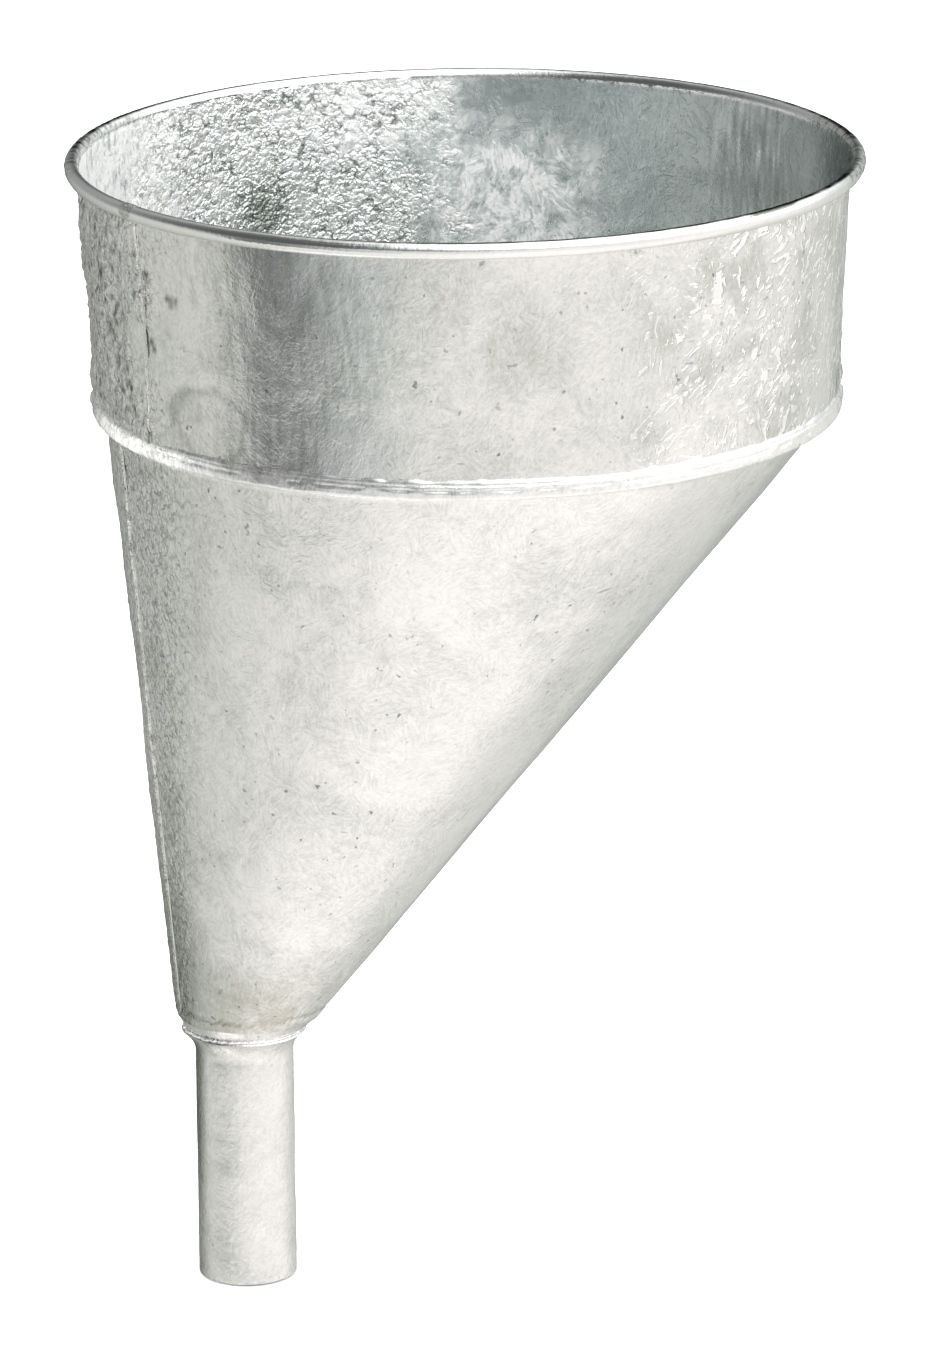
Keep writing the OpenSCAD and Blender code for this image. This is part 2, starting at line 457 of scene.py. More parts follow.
def zinc(name, rough=(0.15, 0.25), streak=1.0, pits=1.0, stain=None, frosty=False):
    """Hot-dip zinc: faint clouds, crystals that are each streaked their own way, pits and grain.

    Mesh attributes steer it: "dull" darkens weathered skin, lightens it below 0, and carries
    painted shade and painted light; "crust" wrinkles it where the zinc froze rough and paints
    shade in the creases between its domes; "fern" brings the crystals up, painting their bright
    streaks as glints; "slate" paints the insides a darker blue-grey as shade; "frost" turns it
    matt white if frosty; "smooth" flattens it over the rolls; "scar" blackens it with pits and
    dirt and with painted shade and painted dark reflection; and "stain" tints it with the
    stain's colour."""
    material, tree, skin, place = new_skin(name)
    dull, crust, fern, slate, frost, smooth, scar = (
        attribute(tree, key)
        for key in ("dull", "crust", "fern", "slate", "frost", "smooth", "scar")
    )
    cloud = noise(tree, place, 22.0, 4.0, 0.55, 0.8)
    mottle = noise(tree, place, 150.0, 5.0, 0.65, 0.7)
    fine = noise(tree, place, 1100.0, 3.0, 0.7)
    ferns, strokes, crystal = crystals(tree, place)
    flake_glints = times(tree, remap(tree, strokes, 0.56, 0.62), fern)
    froth, spread = frothing(tree, place)

    # Colour, from the clean metal up to the marks, the painted glints and the painted shade on it
    tone = remap(tree, cloud, 0.32, 0.68, 0.0, 0.75)
    tone = plus(tree, tone, remap(tree, mottle, 0.3, 0.7, 0.0, 0.3))
    tone = plus(tree, tone, remap(tree, ferns, 0.3, 0.7, 0.28 * streak, -0.28 * streak))
    tone = plus(tree, tone, times(tree, crystal, 0.12))
    tone = plus(tree, tone, remap(tree, fine, 0.3, 0.7, -0.2, 0.2))
    # Weathering darkens the skin, painted shade darkens it too, and painted light lightens it
    tone = plus(tree, tone, dull)
    colour = blend_colours(tree, remap(tree, tone, 0.0, 2.1), LIGHT_ZINC, SHADE_ZINC)
    # Bright streaks of the crystals, painted as glints
    colour = blend_colours(tree, times(tree, flake_glints, 0.8), colour, FLAKE_GLINT_ZINC)
    # Painted shade in the creases between the froth's domes
    crease_shade = times(tree, remap(tree, spread, 0.55, 0.8), crust)
    colour = blend_colours(tree, times(tree, crease_shade, 0.7), colour, CREASE_SHADE_ZINC)
    speckled = specks(tree, place, cloud)
    colour = blend_colours(tree, times(tree, speckled, 0.8 * pits), colour, PIT_AND_SHADE_ZINC)
    scratched = scratches(tree, place, cloud)
    colour = blend_colours(tree, times(tree, scratched, 0.45), colour, PIT_AND_SHADE_ZINC)
    if frosty:
        by_cloud = remap(tree, mottle, 0.3, 0.7, 0.15, 0.8)
        feathered = plus(tree, by_cloud, remap(tree, ferns, 0.3, 0.7, 0.05, 0.75))
        matt = maths(tree, "MINIMUM", times(tree, frost, feathered), 1.0)
        slate = times(tree, slate, less(tree, 1.0, matt))
    # Painted shade: the insides turn a darker blue-grey, less where the zinc is matt
    colour = blend_colours(tree, slate, colour, INSIDE_SHADE_ZINC)
    colour = blend_colours(tree, times(tree, smooth, 0.75), colour, LIGHT_ZINC)
    # Pits, cracks and dirt blacken it, and so do painted shade and painted dark reflection
    colour = blend_colours(tree, scar, colour, PIT_AND_SHADE_ZINC)
    if stain:
        patchy = times(tree, attribute(tree, "stain"), remap(tree, mottle, 0.35, 0.65, 0.2, 1.0))
        colour = blend_colours(tree, patchy, colour, stain)
    tree.links.new(colour, skin.inputs["Base Color"])
    # Scars, dirt, painted shade and painted dark reflection stay dark at a grazing angle, where
    # clean metal turns white
    tree.links.new(less(tree, 1.0, scar), skin.inputs["Specular Tint"])

    gloss = plus(
        tree,
        remap(tree, ferns, 0.3, 0.7, rough[1], rough[0]),
        remap(tree, mottle, 0.3, 0.7, -0.03, 0.05),
    )
    gloss = times(tree, gloss, remap(tree, smooth, 0.0, 1.0, 1.0, 0.4))
    if frosty:
        gloss = plus(tree, gloss, times(tree, matt, 0.2))
        tree.links.new(less(tree, 1.0, times(tree, matt, 0.8)), skin.inputs["Metallic"])
    else:
        skin.inputs["Metallic"].default_value = 1.0
    tree.links.new(gloss, skin.inputs["Roughness"])

    keep = remap(tree, smooth, 0.0, 1.0, 1.0, 0.12)
    worn = bump(tree, mottle, times(tree, keep, 0.27), 0.0004)
    worn = bump(tree, ferns, times(tree, keep, 0.5 * streak), 0.00014, worn)
    worn = bump(tree, flake_glints, 0.7, 0.00030, worn)
    worn = bump(tree, fine, times(tree, keep, 0.3), 0.00010, worn)
    worn = bump(tree, froth, crust, -0.0009, worn)
    tree.links.new(worn, skin.inputs["Normal"])
    return material


def steel(name):
    """Bare drawn wire, dark and lightly rusted."""
    material, tree, skin, place = new_skin(name)
    grime_and_dark_reflection = noise(tree, place, 300.0, 4.0, 0.6)
    colour = blend_colours(tree, remap(tree, grime_and_dark_reflection, 0.35, 0.7), WIRE_STEEL, WIRE_RUST)
    tree.links.new(colour, skin.inputs["Base Color"])
    tree.links.new(remap(tree, grime_and_dark_reflection, 0.3, 0.7, 0.35, 0.6), skin.inputs["Roughness"])
    tree.links.new(bump(tree, grime_and_dark_reflection, 0.3, 0.0001), skin.inputs["Normal"])
    skin.inputs["Metallic"].default_value = 1.0
    return material


band_skin = zinc("band zinc", frosty=True)
cone_skin = zinc("cone zinc", stain=STAIN, frosty=True)
spout_skin = zinc("spout zinc", rough=(0.2, 0.32), streak=0.7, pits=0.6)
joint_skin = zinc("joint zinc", rough=(0.15, 0.27), streak=0.6, pits=0.4, frosty=True)

for holder in frame["nodes"]["rim_wire"].material_slots:
    holder.material = steel("wire steel")

# ---------------------------------------------------------------- band
mouth_around = 2 * math.pi * rim_r
WRAP_GAP = 0.03
SAG = 0.28
ROLL_END = 222

# The roll sags a little below the wire's middle, as rolled by hand
roll_arc = arc(bead_ring_r, bead_z, bead_r - 0.12, ROLL_END - 360, 180, 22)
roll_arc = [(r, z - SAG * max(0, bead_z - z)) for r, z in roll_arc]
band_runs = [
    (
        [
            (band_low_r - sheet, band_z),
            (skin_r, band_z),
            (skin_r, seam_top_z - sheet),
            (flange_r, seam_top_z - sheet),
            (flange_r, band_z + sheet),
        ],
        2.5,
        "flange",
    ),
    ([(band_low_r, band_z + sheet)], 1.9, "outer"),
    (arc(bead_ring_r, bead_z, wire_r + WRAP_GAP, 180, ROLL_END - 360, 8), 9.0, "wrap"),
    (roll_arc, 9.0, "roll"),
    ([(band_top_r - sheet, bead_z - 1.0)], 1.2, "inner"),
]
r, z, face = trace(*band_runs)
angle = angles(660, [BAND_LAP_AT])
turn = angle[:, None]
around = np.radians(turn) * rim_r

wave = relief(11, mouth_around, 120, 45, 160)
dent = relief(12, mouth_around, 120, 9, 26)
ripple = relief(13, mouth_around, 120, 2.6, 6, stretch=1.3)
run_field = relief(14, mouth_around, 240, 2.2, 9, stretch=4.0)
lumps = relief(15, mouth_around, 120, 4.0, 12, stretch=1.1)
wrinkle = relief(16, mouth_around, 120, 2.2, 4.5)
patch = relief(17, mouth_around, 160, 22, 60, stretch=0.8)
drag = relief(18, mouth_around, 300, 1.6, 6, stretch=9.0)

outer, inner, roll = ((face == name) * 1.0 for name in ("outer", "inner", "roll"))


def near(centre, whole, none):
    """On the band, 1 within `whole` degrees of a direction and 0 beyond `none`, its edge
    wandering."""
    return ramp(np.abs(off(turn, centre) + 4 * patch(around, z)), none, whole)


# Where the zinc ran down and froze rough, where its crystals show, where it frothed, and
# which parts of the roll are rough. Marks have their places in degrees and mm.
lap_side = near(177, 12, 30)
flaky = near(318, 26, 46)
froth_side = near(104, 20, 34)
crumple = near(183, 6, 13)
rough_roll = np.maximum(near(149, 14, 24), near(RIGHT_END, 12, 24))
ragged = within(turn, RIGHT_END, 5, 18) * ramp(z, 306, 284)
# Painted shade: the inside of the band darkens towards the right end of the mouth
shaded = within(turn, 0, 22, 52)

lump = np.abs(lumps(around, z))
wrinkles = np.abs(wrinkle(around, z))

# The sheet bends as one, so its two faces move together
bend = (0.20 * wave(around, z) + 0.04 * dent(around, z)) * ramp(z, bead_z, bead_z - 8)
bend = bend * ramp(z, band_z, band_z + 6)

runs_down = np.clip(run_field(around, z) - 0.9, 0, 3)
pools = ramp(patch(around + 40, z) + 0.25 * dent(around, z), 0.2, 0.5)
crack_at = 189 - 0.27 * (z - 290) + 1.6 * dent(40 + 0 * turn, 1.4 * z)
crack = blob(turn, 0 * z, crack_at, 0, band_top_r, 1.6, 1.0)
frozen = 0.22 * runs_down + 0.25 * pools + 0.4 * lump + 0.16 * wrinkles - 0.45 * crack
height = outer * (bend + 0.006 * ripple(around, z) + frozen * lap_side)
for at, up, size, high in ((LEFT_END, 4.5, 8.0, 1.2), (RIGHT_END, 4.0, 7.0, 1.0)):
    height = height + outer * blob(turn, z, at, seam_top_z + up, band_top_r, size, high)
height = height + outer * ragged * (0.3 * lump + 0.2 * wrinkles)

lumpy = 0.34 * (lump - 0.7) + 0.14 * (wrinkles - 0.7)
lumpy = lumpy * (0.75 + 0.35 * dent(around, z + 30))
height = height + inner * (
    np.maximum(froth_side * lumpy, -0.3) - bend + 0.012 * ripple(around, z)
)
height = height + roll * (0.02 * dent(around, z) + 0.055 * rough_roll * wrinkle(around, z))
under_roll = ramp(z, rim_z - 2 * bead_r, rim_z - 2 * bead_r - 2)
height = height + outer * lap_step(turn, BAND_LAP_AT, band_top_r, sheet) * under_roll

# Pits beside the lap as (direction, height, size), a dried water mark, drag lines, a dark
# hollow in the froth, and greyed patches
pitted = sum(
    blob(turn, z, at, up, band_top_r, 1.15 * size, 2.2)
    for at, up, size in (
        (196.5, 326, 1.6), (197.5, 325, 1.2), (196.5, 305.5, 1.5), (197.2, 304, 1.2),
        (201.3, 321, 1.4), (202.2, 319.5, 1.7), (203.4, 319.8, 1.3), (194.5, 331, 1.0),
    )
)
ring = np.hypot(off(turn, 209) / 7.6, (z - 284.5) / 10) + 0.08 * dent(around, z)
mark = ridge(ring - 1, 0.1) * 0.8 + 0.12 * ramp(ring, 1.1, 0.8)
drag_lines = drag(around, z)
drawn_down = drag_lines * (0.3 * near(334, 8, 16) + 0.3 * near(222, 10, 18) + 0.1 * lap_side)
hollow = blob(turn, z, 105.0, 307, rim_r, 14, 1.2)
greyed = blob(turn, z, 259, 316, band_top_r, 26, 0.6)
greyed = greyed + blob(turn, z, 237, 290, band_top_r, 16, 0.3)
greyed = greyed + flaky * (0.12 + 0.55 * ramp(patch(around + 70, z), -0.2, 0.8))

# Outside: painted light on the rough stretch at the left; drag lines, the water mark, greyed
# patches and the right end darken the skin
dull = outer * (0.25 * near(336, 4, 10) - 0.45 * lap_side + drawn_down + mark + greyed)
crumpled = np.clip(lumps(around, z) + 0.4 * dent(around, z), -1.5, 1.5)
dull = dull + outer * 0.5 * crumple * crumpled
# Inside: darker in the hollow, painted shade towards the right end, and lighter where it frothed
dull = dull + inner * (hollow + 0.3 * shaded - 0.5 * froth_side)
dull = dull + roll * 0.7 * near(RIGHT_END, 14, 26)
crust = 0.06 + 0.4 * lap_side * outer
crust = crust + inner * froth_side * np.clip(0.8 + 0.3 * dent(around + 50, z), 0.3, 1.2)
# Crystal streaks, painted bright as glints
fern = outer * (0.05 + 0.95 * flaky + 0.25 * lap_side + 0.5 * crumple)
fern = fern + 0.22 * inner * (1 - froth_side)
# Painted shade: the inside is a darker blue-grey, except where it frothed
slate = inner * np.clip(0.95 - froth_side, 0, 1)

# White mist inside the mouth: at the left, and as two clouds at the far side
wisps = np.clip(0.9 + 0.28 * dent(around + 90, z) + 0.16 * lumps(around + 60, z), 0.1, 1.4)
left_mist = within(turn, 147, 15, 31) * np.clip(0.9 + 0.28 * drag_lines, 0.2, 1.4)
high_mist = within(turn, 85, 1, 20) * ramp(z, 316, 336)
low_mist = within(turn, 64, 1, 22) * ramp(z, 338, 314)
mist = 1.1 * left_mist + (0.95 * high_mist + 0.85 * low_mist) * wisps
streaked = np.clip(drag_lines, -2, 2) * within(turn, 20, 6, 14)
frost = 0.17 - 0.15 * shaded + 0.2 * froth_side + mist + 0.14 * streaked - 0.8 * hollow
frost = inner * np.clip(frost, 0.02, 1.3)

# Painted dark reflection: a broken line along the top of the roll in front with one thick
# piece, and a ragged line along the far rim. Dirt in the rough stretches.
over_roll = np.degrees(np.arctan2(z - bead_z, r - bead_ring_r))
over_top = ramp(over_roll, 130, 110)
grime_and_dark_reflection = ramp(over_roll, 58, 76) * over_top * within(turn, 280, 40, 54)
grime_and_dark_reflection = grime_and_dark_reflection * np.clip(0.9 + 0.25 * dent(around, 0 * z), 0.3, 0.97)
grime_and_dark_reflection = grime_and_dark_reflection + 0.97 * ramp(over_roll, 36, 56) * over_top * within(turn, 300, 4, 6)
grime_and_dark_reflection = grime_and_dark_reflection + 0.5 * rough_roll * np.clip(wrinkle(around, z), 0, 1)
far_rim_dark_reflection = ramp(over_roll, 62, 72) * ramp(over_roll, 116, 96) * within(turn, 71, 78, 92)
grime_and_dark_reflection = grime_and_dark_reflection + far_rim_dark_reflection * np.clip(0.7 + 0.35 * dent(1.6 * around, 0 * z), 0.2, 0.97)

# Painted shade in the creases of the crumpled zinc
crumple_crease_shade = crumple * np.clip(0.6 * wrinkle(around, z) - 0.3, 0, 0.75)
scar = outer * np.clip(0.6 * pitted + 0.6 * crack * lap_side + 0.2 * mark + crumple_crease_shade, 0, 0.9)
scar = scar + roll * np.clip(grime_and_dark_reflection, 0, 0.97)
# Inside: blacker in the hollow, and painted shade towards the right end
scar = scar + inner * np.clip(0.45 * hollow + 0.28 * shaded - 0.12 * streaked, 0, 0.7)
points = raise_by(sweep(r, z, angle, mouth_x), height)
make_piece(
    "band_sheet",
    points,
    closed_quads(*points.shape[:2]),
    "zinc_band",
    band_skin,
    ["band"],
    dull=dull,
    crust=crust,
    fern=fern,
    slate=slate,
    frost=frost,
    smooth=roll * (1 - 0.75 * rough_roll),
    scar=scar,
)

# ---------------------------------------------------------------- cone
LIP = 7.0
LIP_GROOVE = 3.2
HOOK_GROOVE = 3.25

# The hook's outer profile is drawn from the seam's foot to its top
hook_runs = [
    ([(foot_r - cone_t, foot_z)], 1.5, "foot"),
    ([(foot_r, foot_z)], 0.8, "foot"),
    ([(cone_r(edge_z), edge_z)], 0.6, "outer"),
    ([(cone_r(edge_z + LIP), edge_z + LIP)], 1.65, "outer"),
    (
        [
            (cone_r(seam_z - 0.8), seam_z - 0.8),
            (cone_top_r + 0.9, seam_z - 0.05),
            (seam_r - 1.1, seam_z + 0.05),
            (seam_r - 0.35, seam_z + 0.35),
            (seam_r - 0.05, seam_z + 1.0),
            (seam_r, seam_z + 1.7),
            (seam_r - 0.04, seam_z + 2.4),
            (seam_r - 0.16, seam_z + 2.9),
            (seam_r - 0.30, seam_z + 3.25),
            (seam_r - 0.26, seam_z + 3.6),
            (seam_r - 0.26, seam_z + 4.05),
            (seam_r - 0.44, seam_z + 4.55),
            (seam_r - 0.80, seam_top_z - 0.08),
            (tail_r + 0.2, seam_top_z),
        ],
        0.7,
        "hook",
    ),
    (
        [
            (tail_r, seam_top_z - 0.3),
            (tail_r, band_z + 2 * sheet),
            (flange_r, band_z + 2 * sheet),
            (flange_r, seam_top_z - sheet),
            (skin_r, seam_top_z - sheet),
            (skin_r, seam_z + sheet),
        ],
        2.5,
        "tail",
    ),
    ([(cone_top_r - cone_t, seam_z + sheet)], 5.0, "inner"),
    ([(cone_r(edge_z) - cone_t, edge_z)], 1.5, "foot"),
]
r, z, face = trace(*hook_runs)
angle = angles(430, [CONE_LAP_AT])
turn = angle[:, None]
around = np.radians(turn) * cone_top_r

cone_around = 2 * math.pi * cone_top_r
seam_around = 2 * math.pi * seam_r
wave = relief(31, cone_around, 260, 40, 150, stretch=0.7)
dent = relief(32, cone_around, 260, 10, 30)
ripple = relief(33, cone_around, 260, 3.0, 7)
bumps = relief(34, cone_around, 260, 3.0, 9)
broken = relief(35, seam_around, 60, 4, 22)
seam_lumps = relief(36, seam_around, 60, 2.2, 8)

outer, inner, hook = ((face == name) * 1.0 for name in ("outer", "inner", "hook"))
narrow = r / cone_top_r

rough_out = within(turn, 172, 16, 40)
bend = narrow * (0.22 * wave(around, z) + 0.035 * dent(around, z))
bend = bend * ramp(z, seam_z, seam_z - 8)
height = outer * (bend + 0.008 * ripple(around, z) + 0.12 * rough_out * np.abs(bumps(around, z)))
height = height + inner * (np.maximum(0.14 * bumps(around, z), -0.3) - bend)
groove = ridge(z - seam_z - HOOK_GROOVE, 0.45)
height = height + hook * (
    0.034 * seam_lumps(around, 2.5 * z)
    + 0.012 * ripple(around, 2.5 * z)
    + 0.03 * dent(around, z)
    + groove * 0.22 * np.clip(broken(around, z * 0) - 0.1, -0.7, 1.0)
    - 0.06
)
ragged = np.maximum(within(turn, RIGHT_END, 6, 20), within(turn, LEFT_END, 6, 22))
height = height + hook * ragged * 0.14 * np.abs(bumps(around, 2 * z))
for at, up, size, high in (
    (LEFT_END, 3.0, 4.0, 1.0),
    (RIGHT_END, 2.8, 4.0, 0.8),
    (222, 3.2, 1.6, 0.3),
):
    height = height + hook * blob(turn, z, at, seam_z + up, seam_r, size, high)

# A lip round the cone's foot, with a groove above it
lip_z = z - edge_z - LIP_GROOVE - 0.3 * dent(around, 0 * z)
height = height + outer * (0.12 * ramp(lip_z, 0, -1) - 0.3 * ridge(lip_z, 0.7))
lap_ends = ramp(z, edge_z + 0.5, edge_z + 2.5) * ramp(z, seam_z - 0.5, seam_z - 2.5)
height = height + outer * lap_step(turn, CONE_LAP_AT, r, cone_t) * lap_ends

# Darker towards the foot, above all on the left
dull = rough_out * (0.95 * ramp(z, 240, 110) - 0.15)
dull = dull + 0.35 * ramp(z, 150, 92) * within(turn, 215, 20, 50)
dull = dull + 0.35 * ramp(z, 128, 90) * within(turn, 245, 50, 90)
dull = outer * dull
# Painted shade in the groove above the lip and along the left edge low down
scar = outer * 0.2 * ridge(lip_z, 0.5)
scar = scar + outer * 0.22 * ramp(z, 150, 100) * within(turn, 183, 12, 34)
stain = ramp(z, edge_z + 26, edge_z + 4) * within(turn, 262, 20, 60) * outer * 0.3
points = raise_by(sweep(r, z, angle, cone_x(z)), height)
make_piece(
    "cone_sheet",
    points,
    closed_quads(*points.shape[:2]),
    "zinc_cone",
    cone_skin,
    ["cone"],
    dull=dull,
    crust=0.06 + 0.6 * rough_out * outer + 0.3 * inner,
    fern=0.12 * outer + 0.3 * rough_out * outer,
    # Painted shade on the inside
    slate=0.6 * inner,
    frost=0.15 * inner + hook * (0.16 + 0.5 * within(turn, 191, 8, 22)),
    smooth=0.45 * hook,
    stain=stain,
    scar=scar,
)

# ---------------------------------------------------------------- spout
EDGE = 0.18
flare_w = flare_r - spout_r
flare_h = cone_z - spout_len
steps = np.linspace(0, 1, 11)
outer_flare = [(spout_r + flare_w * t * t, spout_len + flare_h * t) for t in steps]
collar_r = spout_r + 0.58 * flare_w
inner_flare = [
    (bore_r + (collar_r - sheet - bore_r) * t * t, spout_len + 0.75 * flare_h * t)
    for t in steps
]
r, z, face = trace(
    ([(bore_r, EDGE), (bore_r + EDGE, 0.0), (spout_r - EDGE, 0.0)], 0.4, "edge"),
    ([(spout_r, EDGE)] + outer_flare, 0.9, "outer"),
    (
        [
            (flare_r - 0.1, cone_z + 0.3),
            (flare_r - 0.35, flare_top_z),
            (collar_r, flare_top_z),
            (collar_r, collar_top_z),
            (collar_r - sheet, collar_top_z),
        ],
        0.8,
        "lip",
    ),
    (inner_flare[::-1], 1.6, "inner"),
)
angle = angles(300)
turn = angle[:, None]
around = np.radians(turn) * spout_r
spout_around = 2 * math.pi * spout_r
wave = relief(51, spout_around, 110, 20, 60, stretch=0.8)
dent = relief(52, spout_around, 110, 7, 18)
ripple = relief(53, spout_around, 110, 2.0, 5, stretch=1.6)
outer, inner, lip = ((face == name) * 1.0 for name in ("outer", "inner", "lip"))
height = (outer + inner) * (
    0.09 * wave(around, z) + 0.03 * dent(around, z) + 0.012 * ripple(around, z)
)
# Faint rings left by the flaring tool
for at, deep in ((spout_len - 0.6, 0.09), (spout_len - 3.2, 0.06)):
    height = height - outer * deep * ridge(z - at, 0.6)
height = height + lip * 0.05 * dent(around, z)
rough_out = within(turn, 160, 18, 52)
points = raise_by(sweep(r, z, angle, 0.0), height)
make_piece(
    "spout_tube",
    points,
    closed_quads(*points.shape[:2]),
    "zinc_spout",
    spout_skin,
    ["spout"],
    # Painted shade down the left side of the tube, deeper towards its top
    dull=outer * rough_out * (0.8 + 0.6 * ramp(z, 20, 55)),
    crust=0.1 + 0.2 * rough_out * outer,
    fern=0.1 * outer,
    # Painted shade on the inside
    slate=0.6 * inner,
    # Painted shade along the left edge, fainter towards the bottom
    scar=0.5 * outer * within(turn, 168, 14, 38) * (0.4 + 0.6 * ramp(z, 10, 50)),
)

# ---------------------------------------------------------------- zinc in the joints
# Crease above the seam: a quarter-round bead on the band's wall
CREASE_W = 0.92
CREASE_H = 1.35
angle = angles(600)
turn = angle[:, None]
around = np.radians(turn) * seam_r
swell = 1 + 0.16 * relief(61, mouth_around, 40, 7, 40)(around, 0 * around)
wall_r = band_r(seam_top_z) - 0.2
foot = seam_top_z - 0.3
section = arc(0.0, 0.0, 1.0, -5, 95, 9) + [(-0.15, -0.1)]
r = wall_r + np.array([p[0] for p in section]) * CREASE_W * swell
z = foot + np.array([p[1] for p in section]) * CREASE_H * swell
turns = np.radians(turn)
points = np.stack([mouth_x + r * np.cos(turns), r * np.sin(turns), z], axis=-1)
make_piece(
    "seam_crease_zinc",
    points,
    closed_quads(*points.shape[:2]),
    "joint_zinc",
    joint_skin,
    ["seam_zinc"],
    dull=0.1,
    smooth=0.3,
    frost=0.15,
)

# Ring between the cone's foot and the flare: a rounded box, its outer face uneven
ring_in = collar_r + 0.05
angle = angles(240)
turn = angle[:, None]
around = np.radians(turn) * foot_r
swell = 0.25 * relief(62, 2 * math.pi * foot_r, 40, 2, 12)(around, 0 * around)
section = [
    (ring_in, neck_low[2] - 0.05),
    (foot_r - 0.1, neck_low[2] - 0.05),
    (foot_r + 0.1, neck_low[2] + 0.2),
    (foot_r + 0.1, neck_high[2] - 0.2),
    (foot_r - 0.1, neck_high[2] + 0.05),
    (ring_in, neck_high[2] + 0.05),
]
r = np.array([p[0] for p in section]) + swell * np.array([0, 0.5, 1, 1, 0.5, 0])
z = np.array([p[1] for p in section])
points = sweep(r, z, angle, 0.0)
make_piece(
    "neck_ring_zinc",
    points,
    closed_quads(*points.shape[:2]),
    "joint_zinc",
    joint_skin,
    ["neck_zinc"],
    smooth=0.4,
    frost=0.45,
)


def rows_of(*columns):
    """Points or vectors out of their x, y and z, which may be numbers or arrays."""
    return np.stack(np.broadcast_arrays(*columns), axis=-1).astype(float)


def lap_line(direction, z, centre_x, radius):
    """Points down a lap's edge, with the ways out of the wall and along it."""
    at = math.radians(direction)
    path = rows_of(centre_x + radius * math.cos(at), radius * math.sin(at), z)
    outward = rows_of(math.cos(at) + 0 * z, math.sin(at), 0)
    across = rows_of(-math.sin(at) + 0 * z, math.cos(at), 0)
    return path, outward, across


def zinc_run(name, node, seed, line, width, high):
    """A bead of zinc along a lap's edge, thicker and thinner at random, its ends tapered."""
    path, outward, across = line
    count = len(path)
    rng = np.random.default_rng(seed)
    knots = rng.normal(0, 1, count // 5 + 3)
    steps = np.arange(count)
    wobble = np.interp(steps, np.arange(len(knots)) * 5.0, knots)
    taper = np.minimum(1, 0.15 + np.minimum(steps, steps[::-1]) / 4)
    size = ((1 + 0.25 * wobble) * taper)[:, None]
    ring = np.radians(np.arange(10) * 36.0)
    points = (
        path[:, None, :]
        + across[:, None, :] * (width / 2 * size * np.cos(ring))[..., None]
        + outward[:, None, :] * (high * size * np.sin(ring))[..., None]
    )
    make_piece(
        name,
        points,
        capped_faces(count, len(ring)),
        "joint_zinc",
        joint_skin,
        [node],
        dull=0.1,
        frost=0.1,
    )


z = np.linspace(rim_z - 2 * bead_r - 0.5, seam_top_z + ZINC_W, 70)
line = lap_line(BAND_LAP_AT + 0.2, z, mouth_x, band_r(z))
zinc_run("band_lap_run", "band_lap_zinc", 71, line, 1.5, 0.34)

z = np.linspace(seam_z - ZINC_W, edge_z + ZINC_W, 170)
line = lap_line(CONE_LAP_AT + 0.15, z, cone_x(z), cone_r(z))
zinc_run("cone_lap_run", "cone_lap_zinc", 72, line, 1.2, 0.24)

# Lump where the roll closes over the lap
LUMP_HALF_ANGLE = 1.9
LUMP_H = 0.65
steps = np.linspace(-1, 1, 25)
at = np.radians(BAND_LAP_AT + steps * LUMP_HALF_ANGLE)[:, None]
ring = np.radians(np.arange(24) * 15.0)
uneven = 1 + 0.12 * np.random.default_rng(73).normal(size=(1, 24))
swell = bead_r - 0.5 + LUMP_H * (1 - steps[:, None] ** 2) ** 0.5 * uneven
r = bead_ring_r + swell * np.cos(ring)
z = bead_z + swell * np.sin(ring)
points = np.stack([mouth_x + r * np.cos(at), r * np.sin(at), z], axis=-1)
make_piece(
    "rim_joint_lump",
    points,
    capped_faces(*points.shape[:2]),
    "joint_zinc",
    joint_skin,
    ["rim_joint_zinc"],
    dull=0.9,
    crust=0.5,
    frost=0.08,
)

# ---------------------------------------------------------------- camera
SENSOR = 36
LENS = 207.973333
DISTANCE = 2.380
PITCH = math.radians(16.63)
ROLL = math.radians(-0.524)
HEADING = math.radians(71.145)
AIM_BELOW_RIM = 0.16364
AIM_RIGHT = -0.00173

heading = Vector((math.cos(HEADING), math.sin(HEADING), 0))
forward = heading * math.cos(PITCH) - Vector((0, 0, math.sin(PITCH)))
level_right = Vector((heading.y, -heading.x, 0))
level_up = level_right.cross(forward)
right = level_right * math.cos(ROLL) + level_up * math.sin(ROLL)
up = level_up * math.cos(ROLL) - level_right * math.sin(ROLL)
mouth_point = Vector((mouth_x * MM, 0, rim_z * MM))
target = mouth_point - Vector((0, 0, AIM_BELOW_RIM)) + level_right * AIM_RIGHT
camera_data = bpy.data.cameras.new("camera")
camera_data.sensor_width = SENSOR
camera_data.lens = LENS
camera = bpy.data.objects.new("camera", camera_data)
spin = Matrix((right, up, -forward)).transposed().to_4x4()
camera.matrix_world = Matrix.Translation(target - forward * DISTANCE) @ spin
bpy.context.scene.collection.objects.link(camera)
bpy.context.scene.camera = camera

# ---------------------------------------------------------------- floor and light
WORLD = 2.3
FLOOR_HALF = 30.0
FLOOR_GAP = 0.0005

floor_mesh = bpy.data.meshes.new("floor")
corners = [
    Vector((x * FLOOR_HALF, y * FLOOR_HALF, -FLOOR_GAP))
    for x, y in ((-1, -1), (1, -1), (1, 1), (-1, 1))
]
floor_mesh.from_pydata(corners, [], [(0, 1, 2, 3)])
floor = bpy.data.objects.new("floor", floor_mesh)
bpy.context.scene.collection.objects.link(floor)
floor_skin = bpy.data.materials.new("floor")
floor_skin.use_nodes = True
floor_node = floor_skin.node_tree.nodes["Principled BSDF"]
floor_node.inputs["Base Color"].default_value = (0.88, 0.88, 0.88, 1)
floor_node.inputs["Roughness"].default_value = 0.9
floor_node.inputs["Specular IOR Level"].default_value = 0.1
floor_mesh.materials.append(floor_skin)
floor.visible_glossy = False


